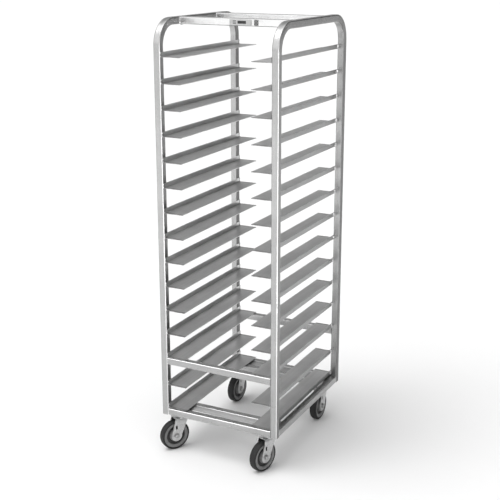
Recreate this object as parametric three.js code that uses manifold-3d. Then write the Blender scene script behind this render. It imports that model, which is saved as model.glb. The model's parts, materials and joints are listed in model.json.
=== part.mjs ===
// Front-loading sheet pan rack: two bent square-tube side hoops joined by cross bars, fifteen pairs of
// L-angle pan slides, a tube base and four swivel casters.
// Units are millimetres. X runs left to right across the loading front, -Y is the front, +Z is up.
import * as THREE from 'three';
import { mergeVertices } from 'three/addons/utils/BufferGeometryUtils.js';
import Module from 'manifold-3d';

const wasm = await Module();
wasm.setup();

// ---- driving dimensions ----
const GAP = 0.3; // left between welded pieces
const TUBE = 28.6; // square tube, outside
const TUBE_WALL = 1.8;
const TUBE_CORNER = 4; // outside corner radius of the tube
const INNER_WIDTH = 469.9; // clear width between the hoops, for an 18 in pan
const DEPTH = 648; // front face to rear face of the posts
const HEIGHT = 1778; // floor to the top of the hoops
const BASE_Z = 159; // floor to the underside of the frame
const BEND_RADIUS = 90; // centre line of the hoop's upper corners
const TOP_BAR_Y = { front: -157, rear: 136 }; // centre lines
const CASTER_BAR_INSET = 93; // frame's end face to the centre of a caster cross member

const LEVELS = 15;
const LEVEL_PITCH = 101.6;
const TOP_LEVEL_Z = BASE_Z + 1476; // underside of the highest ledge
const LOW_GAP_LEVEL = 13; // below this level the pitch is wider, for the mid cross bars
const LOW_GAP_EXTRA = 20.6;
const SLIDE_LEDGE = 84.4;
const SLIDE_FLANGE = 19;
const SLIDE_THICK = 2;
const SLIDE_SETBACK = 2; // slide ends behind the posts' faces

const LABEL = { width: 94, height: 22, thick: 0.8, x: 31 };

const WHEEL_RADIUS = 63.5;
const TYRE_WIDTH = 32;
const RIM_RADIUS = 55;
const CASTER_TRAIL = 35; // kingpin to axle, horizontally
const CASTER_INSET_X = 60; // hoop's outer face to the kingpin
const CASTER_INSET_Y = 54; // frame's end face to the kingpin
const AXLE_RADIUS = 6;
const KINGPIN_RADIUS = 6;
const RUNNING_GAP = 0.5; // radial, on the axle and the kingpin
const PLATE = { width: 64, length: 98, thick: 3, boltX: 22.2, boltY: 39.4, holeRadius: 4.4, corner: 8 };
const FORK_INSIDE = 36;
const FORK_THICK = 3;
const FORK_TOP_Z = 142;
const FORK_EYE_RADIUS = 24; // round lower end of a fork leg
const ROUND_SEGMENTS = 24;
const TYRE_SEGMENTS = 32;

// swivel of each caster at rest, in degrees from trailing straight towards the front
const CASTERS = [
  { name: 'front_left', side: -1, end: -1, swivel: -32 },
  { name: 'front_right', side: 1, end: -1, swivel: -18 },
  { name: 'rear_left', side: -1, end: 1, swivel: -4 },
  { name: 'rear_right', side: 1, end: 1, swivel: 0 },
];

const HOOP_X = (INNER_WIDTH + TUBE) / 2; // centre plane of a hoop
const POST_Y = (DEPTH - TUBE) / 2; // centre line of a post
const BASE_TUBE_Z = BASE_Z + TUBE / 2;
const TOP_TUBE_Z = HEIGHT - TUBE / 2;

// ---- materials ----
const finish = (color, roughness, metalness) => new THREE.MeshStandardMaterial({ color, roughness, metalness });
const aluminium = () => finish(0xc4c5c6, 0.38, 1);
const slideAluminium = () => finish(0xb4b5b6, 0.42, 1);
const zinc = () => finish(0xb9bbbd, 0.35, 1);
const wheelGrey = () => finish(0x8f9193, 0.55, 0);
const rubber = () => finish(0x2b2b2c, 0.75, 0);
const labelFoil = () => finish(0xe2e3e4, 0.3, 0.2);

// ---- helpers ----
function namedMesh(name, geometry, material) {
  const mesh = new THREE.Mesh(geometry, material);
  mesh.name = name;
  return mesh;
}

function toSolid(geometry) {
  const bare = geometry.index ? geometry.toNonIndexed() : geometry.clone();
  bare.deleteAttribute('normal');
  bare.deleteAttribute('uv');
  const merged = mergeVertices(bare, 1e-4);
  const vertProperties = new Float32Array(merged.attributes.position.array);
  const triVerts = new Uint32Array(merged.index.array);
  return new wasm.Manifold(new wasm.Mesh({ numProp: 3, vertProperties, triVerts }));
}

function toGeometry(solid) {
  const mesh = solid.getMesh();
  const geometry = new THREE.BufferGeometry();
  geometry.setAttribute('position', new THREE.BufferAttribute(new Float32Array(mesh.vertProperties), 3));
  geometry.setIndex(new THREE.BufferAttribute(new Uint32Array(mesh.triVerts), 1));
  geometry.computeVertexNormals();
  return geometry;
}

function joined(geometries) {
  return geometries.map(toSolid).reduce((whole, piece) => whole.add(piece));
}

// A square outline with rounded corners, centred on the origin.
function roundedRect(target, width, height, radius) {
  const x = width / 2;
  const y = height / 2;
  target.moveTo(x, y - radius);
  target.absarc(x - radius, y - radius, radius, 0, Math.PI / 2, false);
  target.absarc(-x + radius, y - radius, radius, Math.PI / 2, Math.PI, false);
  target.absarc(-x + radius, -y + radius, radius, Math.PI, 1.5 * Math.PI, false);
  target.absarc(x - radius, -y + radius, radius, 1.5 * Math.PI, 2 * Math.PI, false);
  return target;
}

// The bore's corners are left sharp: they are hidden inside the tube.
function tubeSection() {
  const section = roundedRect(new THREE.Shape(), TUBE, TUBE, TUBE_CORNER);
  const inside = TUBE / 2 - TUBE_WALL;
  const bore = [[1, 1], [-1, 1], [-1, -1], [1, -1]];
  section.holes.push(new THREE.Path(bore.map(([x, y]) => new THREE.Vector2(x * inside, y * inside))));
  return section;
}

// A straight open-ended tube along +Z from the origin.
function straightTube(length) {
  return new THREE.ExtrudeGeometry(tubeSection(), { depth: length, bevelEnabled: false, curveSegments: 2 });
}

function crossBar(name, y, z) {
  const length = INNER_WIDTH - 2 * GAP;
  const bar = namedMesh(name, straightTube(length), aluminium());
  bar.rotation.y = Math.PI / 2;
  bar.position.set(-length / 2, y, z);
  return bar;
}

// ---- side hoops ----
// The hoop's centre line: up the front post, over two bends and the top rail, and down the rear post.
// Stations are spaced evenly in t, one step for each straight run and BEND_STEPS for each bend.
const BEND_STEPS = 8;
const HOOP_STEPS = 3 + 2 * BEND_STEPS;

class HoopPath extends THREE.Curve {
  getPoint(t, target = new THREE.Vector3()) {
    const station = t * HOOP_STEPS;
    const railZ = TOP_TUBE_Z;
    const bendZ = railZ - BEND_RADIUS;
    const bendY = POST_Y - BEND_RADIUS;
    const firstBend = 1;
    const rail = firstBend + BEND_STEPS;
    const secondBend = rail + 1;
    const rearPost = secondBend + BEND_STEPS;
    if (station < firstBend) return target.set(0, -POST_Y, THREE.MathUtils.lerp(BASE_Z, bendZ, station));
    if (station < rail) {
      const angle = Math.PI * (1 - (station - firstBend) / BEND_STEPS / 2);
      return target.set(0, -bendY + BEND_RADIUS * Math.cos(angle), bendZ + BEND_RADIUS * Math.sin(angle));
    }
    if (station < secondBend) return target.set(0, THREE.MathUtils.lerp(-bendY, bendY, station - rail), railZ);
    if (station < rearPost) {
      const angle = Math.PI * (1 - (station - secondBend) / BEND_STEPS) / 2;
      return target.set(0, bendY + BEND_RADIUS * Math.cos(angle), bendZ + BEND_RADIUS * Math.sin(angle));
    }
    return target.set(0, POST_Y, THREE.MathUtils.lerp(bendZ, BASE_Z, station - rearPost));
  }

  // keeps the stations where getPoint puts them, instead of spacing them evenly along the length
  getUtoTmapping(u) {
    return u;
  }
}

function hoop(name, side) {
  const options = { steps: HOOP_STEPS, extrudePath: new HoopPath(), curveSegments: 2, bevelEnabled: false };
  const mesh = namedMesh(name, new THREE.ExtrudeGeometry(tubeSection(), options), aluminium());
  mesh.position.x = side * HOOP_X;
  return mesh;
}

// ---- base ----
function sideBar(name, side) {
  const length = 2 * POST_Y - TUBE - 2 * GAP;
  const bar = namedMesh(name, straightTube(length), aluminium());
  bar.rotation.x = -Math.PI / 2;
  bar.position.set(side * HOOP_X, -length / 2, BASE_TUBE_Z);
  return bar;
}

// ---- pan slides ----
function levelZ(level) {
  const extra = level > LOW_GAP_LEVEL ? LOW_GAP_EXTRA : 0;
  return TOP_LEVEL_Z - (level - 1) * LEVEL_PITCH - extra;
}

// L section with a rounded heel, flange up along x = 0 and ledge towards +x.
function slideSection() {
  const outer = 2.6;
  const inner = outer - SLIDE_THICK;
  const section = new THREE.Shape();
  section.moveTo(0, SLIDE_FLANGE);
  section.lineTo(0, outer);
  section.absarc(outer, outer, outer, Math.PI, 1.5 * Math.PI, false);
  section.lineTo(SLIDE_LEDGE, 0);
  section.lineTo(SLIDE_LEDGE, SLIDE_THICK);
  section.lineTo(outer, SLIDE_THICK);
  section.absarc(outer, outer, inner, 1.5 * Math.PI, Math.PI, true);
  section.lineTo(SLIDE_THICK, SLIDE_FLANGE);
  section.closePath();
  return section;
}

function slide(name, side, level) {
  const length = DEPTH - 2 * SLIDE_SETBACK;
  const options = { depth: length, bevelEnabled: false, curveSegments: 1 };
  const geometry = new THREE.ExtrudeGeometry(slideSection(), options);
  geometry.rotateX(Math.PI / 2);
  const mesh = namedMesh(name, geometry, slideAluminium());
  const heel = INNER_WIDTH / 2 - GAP;
  if (side < 0) {
    mesh.position.set(-heel, length / 2, levelZ(level));
  } else {
    mesh.rotation.z = Math.PI;
    mesh.position.set(heel, -length / 2, levelZ(level));
  }
  return mesh;
}

// ---- label ----
function labelPlate() {
  const shape = roundedRect(new THREE.Shape(), LABEL.width, LABEL.height, 2);
  const options = { depth: LABEL.thick, bevelEnabled: false, curveSegments: 2 };
  const plate = namedMesh('label_plate', new THREE.ExtrudeGeometry(shape, options), labelFoil());
  plate.rotation.x = Math.PI / 2;
  plate.position.set(LABEL.x, TOP_BAR_Y.front - TUBE / 2 - GAP, TOP_TUBE_Z);
  return plate;
}

// ---- casters: each is built about its kingpin, with z = 0 on the floor ----
const RACE_RADIUS = 27;
const RACE_DEPTH = 8;
const PLATE_BOTTOM = BASE_Z - GAP - PLATE.thick;
const RACE_BOTTOM = PLATE_BOTTOM - RACE_DEPTH;

// a closed lathe from [radius, height] pairs, turned about Z
function turned(profile, segments) {
  const points = profile.map(([radius, height]) => new THREE.Vector2(radius, height));
  const geometry = new THREE.LatheGeometry(points, segments);
  geometry.rotateX(Math.PI / 2);
  return geometry;
}

function hexPrism(acrossCorners, height) {
  return new THREE.CylinderGeometry(acrossCorners / 2, acrossCorners / 2, height, 6);
}

// Mounting plate with the upper ball race, the kingpin and its nut.
function casterPlate(name) {
  const shape = roundedRect(new THREE.Shape(), PLATE.width, PLATE.length, PLATE.corner);
  for (const x of [-PLATE.boltX, PLATE.boltX]) {
    for (const y of [-PLATE.boltY, PLATE.boltY]) {
      shape.holes.push(new THREE.Path().absarc(x, y, PLATE.holeRadius, 0, 2 * Math.PI, false));
    }
  }
  const options = { depth: PLATE.thick, bevelEnabled: false, curveSegments: 3 };
  const plate = new THREE.ExtrudeGeometry(shape, options).translate(0, 0, PLATE_BOTTOM);
  const pinBottom = FORK_TOP_Z - FORK_THICK - 7;
  const raceTop = PLATE_BOTTOM + 1;
  const race = turned([
    [0, pinBottom],
    [KINGPIN_RADIUS, pinBottom],
    [KINGPIN_RADIUS, RACE_BOTTOM],
    [RACE_RADIUS - 2, RACE_BOTTOM],
    [RACE_RADIUS, RACE_BOTTOM + 2],
    [RACE_RADIUS, raceTop - 3],
    [RACE_RADIUS + 3, raceTop],
    [0, raceTop],
  ], ROUND_SEGMENTS);
  const nutHeight = 6;
  const nut = hexPrism(20, nutHeight).rotateX(Math.PI / 2).translate(0, 0, pinBottom + nutHeight / 2 - 1);
  return namedMesh(name, toGeometry(joined([plate, race, nut])), zinc());
}

// Side outline of a fork leg, with y as the shape's x and height as its y.
function forkLegShape() {
  const axleY = -CASTER_TRAIL;
  const shape = new THREE.Shape();
  shape.moveTo(16, FORK_TOP_Z);
  shape.lineTo(16, FORK_TOP_Z - 16);
  shape.lineTo(axleY + FORK_EYE_RADIUS, WHEEL_RADIUS + 6);
  shape.absarc(axleY, WHEEL_RADIUS, FORK_EYE_RADIUS, 0, -Math.PI, true);
  shape.lineTo(axleY - FORK_EYE_RADIUS, WHEEL_RADIUS + 6);
  shape.lineTo(-42, FORK_TOP_Z - 14);
  shape.lineTo(-40, FORK_TOP_Z);
  shape.closePath();
  const slot = roundedRect(new THREE.Path(), 8, 18, 3.9);
  const slotCentre = new THREE.Vector2(axleY + 1, WHEEL_RADIUS + 37);
  shape.holes.push(new THREE.Path(slot.getPoints(1).map((point) => point.add(slotCentre))));
  return shape;
}

// Fork: crown with the lower race, two legs, and the axle bolt with its head and nut.
function casterFork(name) {
  const outside = FORK_INSIDE / 2 + FORK_THICK;
  const pieces = [];
  for (const side of [-1, 1]) {
    const leg = new THREE.ExtrudeGeometry(forkLegShape(), { depth: FORK_THICK, bevelEnabled: false, curveSegments: 5 });
    leg.rotateX(Math.PI / 2).rotateZ(Math.PI / 2);
    leg.translate(side > 0 ? outside - FORK_THICK : -outside, 0, 0);
    pieces.push(leg);
  }
  const crown = new THREE.BoxGeometry(2 * outside, 56, FORK_THICK);
  pieces.push(crown.translate(0, -12, FORK_TOP_Z - FORK_THICK / 2));
  const lowerRace = turned([
    [0, FORK_TOP_Z - 1],
    [RACE_RADIUS - 1, FORK_TOP_Z - 1],
    [RACE_RADIUS - 1, FORK_TOP_Z + 1.5],
    [RACE_RADIUS - 4, RACE_BOTTOM - RUNNING_GAP],
    [0, RACE_BOTTOM - RUNNING_GAP],
  ], ROUND_SEGMENTS);
  pieces.push(lowerRace);
  const headHeight = 7;
  const axleLength = 2 * (outside + headHeight + 2);
  const axle = new THREE.CylinderGeometry(AXLE_RADIUS, AXLE_RADIUS, axleLength, 16).rotateZ(Math.PI / 2);
  pieces.push(axle.translate(0, -CASTER_TRAIL, WHEEL_RADIUS));
  for (const side of [-1, 1]) {
    const head = hexPrism(21, headHeight + 1).rotateZ(Math.PI / 2);
    pieces.push(head.translate(side * (outside + (headHeight - 1) / 2), -CASTER_TRAIL, WHEEL_RADIUS));
  }
  const boreRadius = KINGPIN_RADIUS + RUNNING_GAP;
  const bore = new THREE.CylinderGeometry(boreRadius, boreRadius, 40, ROUND_SEGMENTS).rotateX(Math.PI / 2);
  const fork = joined(pieces).subtract(toSolid(bore.translate(0, 0, FORK_TOP_Z)));
  return namedMesh(name, toGeometry(fork), zinc());
}

// A lathe closed on itself, centred on the axle, with its axis along X.
function wheelRing(profile, segments) {
  const loop = [...profile, profile[0]];
  const points = loop.map(([radius, half]) => new THREE.Vector2(radius, half));
  const geometry = new THREE.LatheGeometry(points, segments, Math.PI / segments);
  geometry.rotateZ(Math.PI / 2);
  return geometry;
}

// mirrors the right half of a wheel profile, listed from the bore outwards, to the left half
function mirroredProfile(half) {
  const left = half.map(([radius, width]) => [radius, -width]);
  return [...left, ...half.toReversed()];
}

// Moulded wheel: hub, thin web and rim.
function wheelCore(name) {
  const bore = AXLE_RADIUS + RUNNING_GAP;
  const half = [
    [bore, 17],
    [26, 17],
    [27, 8],
    [42, 7],
    [44, 14],
    [RIM_RADIUS, 15],
  ];
  return namedMesh(name, toGeometry(toSolid(wheelRing(mirroredProfile(half), ROUND_SEGMENTS))), wheelGrey());
}

// Tyre: flat on the floor at its lowest facet, so its corners stand out by the facets' height.
function tyre(name) {
  const outer = WHEEL_RADIUS / Math.cos(Math.PI / TYRE_SEGMENTS);
  const inner = (RIM_RADIUS + GAP) / Math.cos(Math.PI / TYRE_SEGMENTS);
  const half = [
    [inner, TYRE_WIDTH / 2 - 1],
    [outer - 5, TYRE_WIDTH / 2],
    [outer - 1.5, TYRE_WIDTH / 2 - 2.5],
    [outer, TYRE_WIDTH / 2 - 7],
  ];
  return namedMesh(name, toGeometry(toSolid(wheelRing(mirroredProfile(half), TYRE_SEGMENTS))), rubber());
}

function caster({ name, side, end, swivel }) {
  const group = new THREE.Group();
  group.position.set(
    side * (HOOP_X + TUBE / 2 - CASTER_INSET_X),
    end * (DEPTH / 2 - CASTER_INSET_Y),
    0,
  );
  const turning = new THREE.Group();
  turning.rotation.z = THREE.MathUtils.degToRad(swivel);
  const wheel = new THREE.Group();
  wheel.position.set(0, -CASTER_TRAIL, WHEEL_RADIUS);
  wheel.add(wheelCore(`caster_${name}_wheel`), tyre(`caster_${name}_tyre`));
  turning.add(casterFork(`caster_${name}_fork`), wheel);
  group.add(casterPlate(`caster_${name}_plate`), turning);
  return group;
}

// ---- assembly ----
const rack = new THREE.Group();
const midBarZ = levelZ(LOW_GAP_LEVEL) - 2 - TUBE / 2; // just under its ledge
const casterBarY = DEPTH / 2 - CASTER_BAR_INSET;
for (const [word, side] of [['left', -1], ['right', 1]]) {
  rack.add(hoop(`hoop_${word}`, side));
  rack.add(sideBar(`base_bar_${word}`, side));
  for (let level = 1; level <= LEVELS; level += 1) {
    rack.add(slide(`slide_${word}_${String(level).padStart(2, '0')}`, side, level));
  }
}
for (const [word, end] of [['front', -1], ['rear', 1]]) {
  rack.add(crossBar(`top_bar_${word}`, TOP_BAR_Y[word], TOP_TUBE_Z));
  rack.add(crossBar(`mid_bar_${word}`, end * POST_Y, midBarZ));
  rack.add(crossBar(`base_bar_${word}`, end * POST_Y, BASE_TUBE_Z));
  rack.add(crossBar(`caster_bar_${word}`, end * casterBarY, BASE_TUBE_Z));
}
rack.add(labelPlate());
rack.add(...CASTERS.map(caster));

// The origin is on the floor, under the middle of the whole object's box.
rack.updateMatrixWorld(true);
const middle = new THREE.Box3().setFromObject(rack, true).getCenter(new THREE.Vector3());
rack.position.set(-middle.x, -middle.y, 0);

export default rack;
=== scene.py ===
import json
import math

import bmesh
import bpy
from mathutils import Matrix, Vector


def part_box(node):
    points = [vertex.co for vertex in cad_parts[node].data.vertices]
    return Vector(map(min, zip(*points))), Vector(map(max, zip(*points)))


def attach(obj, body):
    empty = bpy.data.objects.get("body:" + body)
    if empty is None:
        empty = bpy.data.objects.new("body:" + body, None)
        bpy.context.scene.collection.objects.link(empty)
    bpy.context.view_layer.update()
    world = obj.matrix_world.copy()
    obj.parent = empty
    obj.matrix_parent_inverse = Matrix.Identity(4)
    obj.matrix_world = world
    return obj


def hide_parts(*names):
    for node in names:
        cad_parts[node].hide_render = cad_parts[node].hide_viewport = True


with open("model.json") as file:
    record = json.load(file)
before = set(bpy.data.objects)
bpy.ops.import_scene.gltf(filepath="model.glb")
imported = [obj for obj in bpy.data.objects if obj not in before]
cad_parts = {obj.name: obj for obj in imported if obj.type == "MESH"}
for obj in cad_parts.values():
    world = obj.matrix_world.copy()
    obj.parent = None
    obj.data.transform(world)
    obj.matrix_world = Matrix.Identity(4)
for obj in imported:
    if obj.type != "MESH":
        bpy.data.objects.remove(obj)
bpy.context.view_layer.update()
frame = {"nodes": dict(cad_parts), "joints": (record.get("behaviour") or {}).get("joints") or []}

joints = {joint["name"]: joint for joint in frame["joints"]}
CASTERS = ("front_left", "front_right", "rear_left", "rear_right")
MM = 0.001
SMOOTH_ANGLE = math.radians(35)
JOIN_DISTANCE = 0.01 * MM

# -------- camera

VIEW_PLACE = (1.8181, -3.5738, 2.0167)
VIEW_PITCH = math.radians(15.674)  # below the horizontal
VIEW_YAW = math.radians(26.81)
FOCAL_SHARE = 2.015  # focal length over the frame's width
SHIFT_ACROSS = -0.0076
SHIFT_UP = -0.03
SENSOR = 36.0


def make_camera():
    data = bpy.data.cameras.new("camera")
    data.sensor_width = SENSOR
    data.lens = FOCAL_SHARE * SENSOR
    data.shift_x = SHIFT_ACROSS
    data.shift_y = SHIFT_UP
    camera = bpy.data.objects.new("camera", data)
    bpy.context.scene.collection.objects.link(camera)
    camera.location = VIEW_PLACE
    camera.rotation_euler = (math.pi / 2 - VIEW_PITCH, 0, VIEW_YAW)
    bpy.context.scene.camera = camera


make_camera()

# -------- materials

# Darkest and lightest grey, lowest and highest roughness.
TUBE_TONES = (0.39, 0.475, 0.22, 0.36)
# The top bars' tones: the tube's aluminium painted lighter, as a painted highlight.
HIGHLIGHT_PAINTED_TONES = (0.78, 0.90, 0.22, 0.36)
SLIDE_TONES = (0.55, 0.65, 0.34, 0.50)

# How many times as bright a side is painted as the rest of its tube or sheet: painted light above one,
# painted shade below one.
SIDE_PAINTED_LIGHT = 1.3
SIDE_PAINTED_SHADE = 0.62
# Painted shade: the rear post's sides are painted darker again.
REAR_POST_PAINTED_SHADE = 0.3  # the rear post's sides, beside the front post's darkest

# Greys: the first two are painted highlights on tube corners, the third is painted shade on tube corners, the
# fourth darkens the slides' ends beside the welds.
CORNER_PAINTED_HIGHLIGHT = 0.9
EDGE_PAINTED_HIGHLIGHT = 0.68
SHADED_CORNER = 0.2
END_DARK_GREY = 0.12

# How far from a piece's end the darkening starts, and where it is full.
TINT_STARTS = 14 * MM
TINT_FULL = 3 * MM

# Attributes of a swept tube: where on the tube a point is, and how much the tube bends there.
RUN = "along_tube"
BEND = "in_bend"

# Lengths along a hoop over which its front post ends and its rear post starts.
FRONT_POST_ENDS = (1.5, 1.75)
REAR_POST_STARTS = (2.1, 2.3)

WRINKLE_HEIGHT = 170.0  # how many times the drawing lines' height
MIDDLE_TONES = (0.34, 0.66)  # the range that most of a mix of noises falls in


class Nodes:
    """Short names for making a node tree."""

    def __init__(self, tree):
        self.tree = tree
        tree.nodes.clear()

    def new(self, kind, **values):
        node = self.tree.nodes.new(kind)
        for name, value in values.items():
            setattr(node, name, value)
        return node

    def link(self, source, target):
        self.tree.links.new(source, target)

    def noise(self, vector, scale, detail=3.0, roughness=0.55):
        node = self.new("ShaderNodeTexNoise")
        node.inputs["Scale"].default_value = scale
        node.inputs["Detail"].default_value = detail
        node.inputs["Roughness"].default_value = roughness
        self.link(vector, node.inputs["Vector"])
        return node.outputs["Fac"]

    def stretched(self, vector, scale):
        node = self.new("ShaderNodeMapping")
        node.inputs["Scale"].default_value = scale
        self.link(vector, node.inputs["Vector"])
        return node.outputs["Vector"]

    def ranged(self, value, low, high, from_low=0.0, from_high=1.0):
        node = self.new("ShaderNodeMapRange")
        self.link(value, node.inputs["Value"])
        node.inputs["From Min"].default_value = from_low
        node.inputs["From Max"].default_value = from_high
        node.inputs["To Min"].default_value = low
        node.inputs["To Max"].default_value = high
        return node.outputs["Result"]

    def mask(self, value, start, end):
        """0 up to start and 1 from end on."""
        return self.ranged(value, 0, 1, start, end)

    def mixed(self, factor, first, second):
        """Colour mix; first and second are sockets or colours."""
        node = self.new("ShaderNodeMix", data_type="RGBA")
        self.link(factor, node.inputs["Factor"])
        for socket, value in ((node.inputs[6], first), (node.inputs[7], second)):
            if isinstance(value, tuple):
                socket.default_value = (*value, 1)
            else:
                self.link(value, socket)
        return node.outputs[2]

    def math(self, operation, first, second):
        node = self.new("ShaderNodeMath", operation=operation)
        for socket, value in zip(node.inputs, (first, second)):
            if isinstance(value, (int, float)):
                socket.default_value = value
            else:
                self.link(value, socket)
        return node.outputs[0]

    def bump(self, height, strength, distance):
        node = self.new("ShaderNodeBump")
        node.inputs["Strength"].default_value = strength
        node.inputs["Distance"].default_value = distance
        self.link(height, node.inputs["Height"])
        return node.outputs["Normal"]


def shaded(name, metallic):
    """A material with a Principled shader, and the object coordinates to drive it."""
    material = bpy.data.materials.new(name)
    material.use_nodes = True
    nodes = Nodes(material.node_tree)
    shader = nodes.new("ShaderNodeBsdfPrincipled")
    shader.inputs["Metallic"].default_value = metallic
    output = nodes.new("ShaderNodeOutputMaterial")
    nodes.link(shader.outputs["BSDF"], output.inputs["Surface"])
    place = nodes.new("ShaderNodeTexCoord").outputs["Object"]
    return material, nodes, shader.inputs, place


def grey(level):
    return (level, level, level)


def component(nodes, vector, axis):
    parts = nodes.new("ShaderNodeSeparateXYZ")
    nodes.link(vector, parts.inputs[0])
    return parts.outputs[axis]


def corner_mask(nodes, normal, axis):
    """1 on a tube's rounded corners and 0 on its flat sides. axis is an axis across the tube."""
    part = component(nodes, normal, axis)
    square = nodes.math("MULTIPLY", part, part)
    leaning = nodes.math("MULTIPLY", square, nodes.math("SUBTRACT", 1.0, square))
    return nodes.mask(leaning, 0.06, 0.2)


def tone_sides(nodes, colour, normal, cloudy, greys, side, run):
    """Paints light or shade on the faces turned towards X, and more painted shade on the rear post's. run is
    RUN, or None if straight.
    """
    direction, share = side
    dark, light = greys
    facing = nodes.math("MULTIPLY", component(nodes, normal, 0), direction or 1)
    if direction == 0:
        facing = nodes.math("ABSOLUTE", facing, 0)
    painted_side_colour = nodes.mixed(cloudy, grey(dark * share), grey(light * share))
    if run:
        on_rear_post = nodes.ranged(component(nodes, run, 2), 0, 0.6, *REAR_POST_STARTS)
        painted_side_colour = nodes.mixed(on_rear_post, painted_side_colour, grey(dark * share * REAR_POST_PAINTED_SHADE))
    return nodes.mixed(nodes.mask(facing, 0.6, 0.98), colour, painted_side_colour)


def tone_corners(nodes, colour, normal, corner, run):
    """Paints the rounded corners with corner's grey, a painted highlight or painted shade. On a hoop only the
    front post's right-hand corners get that painted highlight, and the others get painted shade.
    """
    axis, tone = corner
    painted_corner_colour = grey(tone)
    if run:
        on_front_post = nodes.ranged(component(nodes, run, 2), 1, 0, *FRONT_POST_ENDS)
        on_right = nodes.mask(component(nodes, normal, 0), -0.1, 0.1)
        # Painted highlight on the front post's right-hand corners, painted shade on the hoop's other corners.
        painted_highlight_corners = nodes.math("MULTIPLY", on_front_post, on_right)
        painted_corner_colour = nodes.mixed(painted_highlight_corners, grey(SHADED_CORNER), painted_corner_colour)
    return nodes.mixed(corner_mask(nodes, normal, axis), colour, painted_corner_colour)


def tint_ends(nodes, colour, place, patches, ends):
    """Darkens a piece's last few millimetres, in patches, beside the welds."""
    low, high = ends
    half = (high - low) / 2
    from_middle = nodes.math("SUBTRACT", component(nodes, place, 1), (low + high) / 2)
    reach = nodes.math("ABSOLUTE", from_middle, 0)
    near_end = nodes.ranged(reach, 0, 0.75, half - TINT_STARTS, half - TINT_FULL)
    tint = nodes.math("MULTIPLY", near_end, nodes.ranged(patches, 0.4, 1, 0.35, 0.6))
    return nodes.mixed(tint, colour, grey(END_DARK_GREY))


def wrinkled(nodes, height, run):
    """Adds the wrinkles that bending leaves in a tube."""
    wrinkles = nodes.noise(nodes.stretched(run, (170.0, 170.0, 22.0)), 1.0, 2.0)
    in_bend = nodes.new("ShaderNodeAttribute", attribute_name=BEND).outputs["Fac"]
    raised = nodes.math("MULTIPLY", nodes.math("MULTIPLY", wrinkles, in_bend), WRINKLE_HEIGHT)
    return nodes.math("ADD", height, raised)


def grained(nodes, place, grain_axis, across, along, detail):
    """Noise drawn out along one axis; across and along are its scales."""
    scales = [across, across, across]
    scales[grain_axis] = along
    return nodes.noise(nodes.stretched(place, scales), 1.0, detail)


def brushed_metal(name, tones, grain_axis=2, bent=False, side=None, corner=None, tinted_ends=None):
    """Satin mill-finish aluminium whose drawing lines run along one axis.

    bent: the mesh is a swept hoop, with RUN and BEND attributes.
    side: a direction in X, 0 for both, and how many times as bright the faces turned that way are painted
    (painted light or painted shade).
    corner: an axis across the tube, and the grey painted on its corners as a painted highlight or painted
    shade.
    tinted_ends: lowest and highest Y of the piece; its ends are darkened in patches beside the welds.
    """
    dark, light, rough_low, rough_high = tones
    material, nodes, sockets, place = shaded(name, 1.0)
    run = None
    if bent:
        run = nodes.new("ShaderNodeAttribute", attribute_name=RUN).outputs["Vector"]
        place = run
    lines = grained(nodes, place, grain_axis, 900.0, 9.0, 4.0)
    bands = grained(nodes, place, grain_axis, 110.0, 2.5, 2.0)
    clouds = nodes.noise(place, 9.0, 5.0)
    handling = nodes.noise(place, 38.0, 6.0, 0.7)
    tone = nodes.math("ADD", nodes.math("MULTIPLY", bands, 0.4), nodes.math("MULTIPLY", clouds, 0.6))
    cloudy = nodes.mask(tone, *MIDDLE_TONES)
    colour = nodes.mixed(cloudy, grey(dark), grey(light))
    normal = nodes.new("ShaderNodeTexCoord").outputs["Normal"]
    if side:
        colour = tone_sides(nodes, colour, normal, cloudy, (dark, light), side, run)
    if corner:
        colour = tone_corners(nodes, colour, normal, corner, run)
    if tinted_ends:
        colour = tint_ends(nodes, colour, place, handling, tinted_ends)
    nodes.link(colour, sockets["Base Color"])
    smears = nodes.math("ADD", nodes.math("MULTIPLY", lines, 0.6), nodes.math("MULTIPLY", handling, 0.4))
    nodes.link(nodes.ranged(smears, rough_low, rough_high, 0.3, 0.7), sockets["Roughness"])
    height = wrinkled(nodes, lines, run) if bent else lines
    nodes.link(nodes.bump(height, 0.35, 0.02 * MM), sockets["Normal"])
    return material


def weld_metal():
    """Rippled weld metal: bright crests, with soot-grey patches beside them."""
    material, nodes, sockets, place = shaded("weld_bead", 1.0)
    soot = nodes.noise(place, 160.0, 4.0, 0.7)
    colour = nodes.mixed(nodes.mask(soot, 0.4, 0.62), grey(0.34), grey(1.0))
    nodes.link(colour, sockets["Base Color"])
    nodes.link(nodes.ranged(soot, 0.42, 0.16, 0.35, 0.65), sockets["Roughness"])
    nodes.link(nodes.bump(nodes.noise(place, 1600.0, 2.0), 0.3, 0.05 * MM), sockets["Normal"])
    return material


def zinc_plate(name, dark, light):
    """Bright zinc plating with soft spangle and dulled patches."""
    material, nodes, sockets, place = shaded(name, 1.0)
    cells = nodes.new("ShaderNodeTexVoronoi", feature="F1")
    cells.inputs["Scale"].default_value = 260.0
    nodes.link(place, cells.inputs["Vector"])
    spangle = nodes.ranged(cells.outputs["Distance"], 0.0, 1.0, 0.0, 0.8)
    dull = nodes.noise(place, 55.0, 5.0, 0.65)
    tone = nodes.math("ADD", nodes.math("MULTIPLY", spangle, 0.3), nodes.math("MULTIPLY", dull, 0.7))
    colour = nodes.mixed(nodes.mask(tone, 0.3, 0.65), grey(dark), grey(light))
    nodes.link(colour, sockets["Base Color"])
    nodes.link(nodes.ranged(dull, 0.26, 0.46, 0.3, 0.7), sockets["Roughness"])
    nodes.link(nodes.bump(nodes.noise(place, 900.0, 3.0), 0.25, 0.03 * MM), sockets["Normal"])
    return material


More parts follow.
